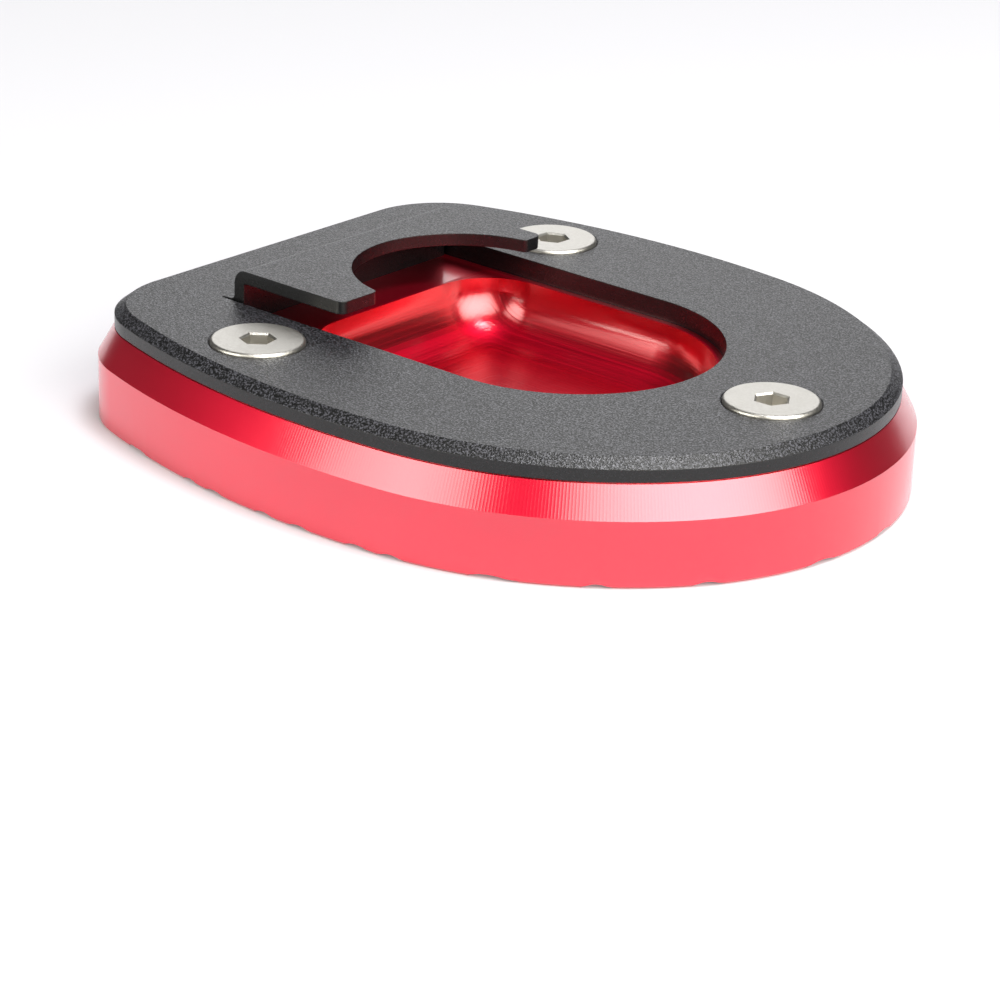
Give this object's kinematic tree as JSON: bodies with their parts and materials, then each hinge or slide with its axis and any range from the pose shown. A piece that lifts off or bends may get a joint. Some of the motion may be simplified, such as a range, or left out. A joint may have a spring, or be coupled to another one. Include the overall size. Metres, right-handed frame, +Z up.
{
  "type": "kickstand foot enlarger",
  "caption": "Wide bevelled foot for a motorbike's side stand: a grooved solid base with a bowl, under a screwed plate with a raised, notched tongue.",
  "frame": {"origin": "middle of the underside, level with the pads that stand on the ground", "axes": "+X along the part, from its straight back edge towards its round front; +Y to the left; +Z up"},
  "size_m": [0.0842, 0.071, 0.0162],
  "materials": {
    "base": "red anodised over fine milling marks",
    "plate": "black textured powder coat",
    "screws": "plain stainless steel"
  },
  "bodies": {
    "root": {"base": "base", "clamp_plate": "plate", "left_screw": "screws", "right_screw": "screws", "front_screw": "screws"}
  },
  "joints": []
}
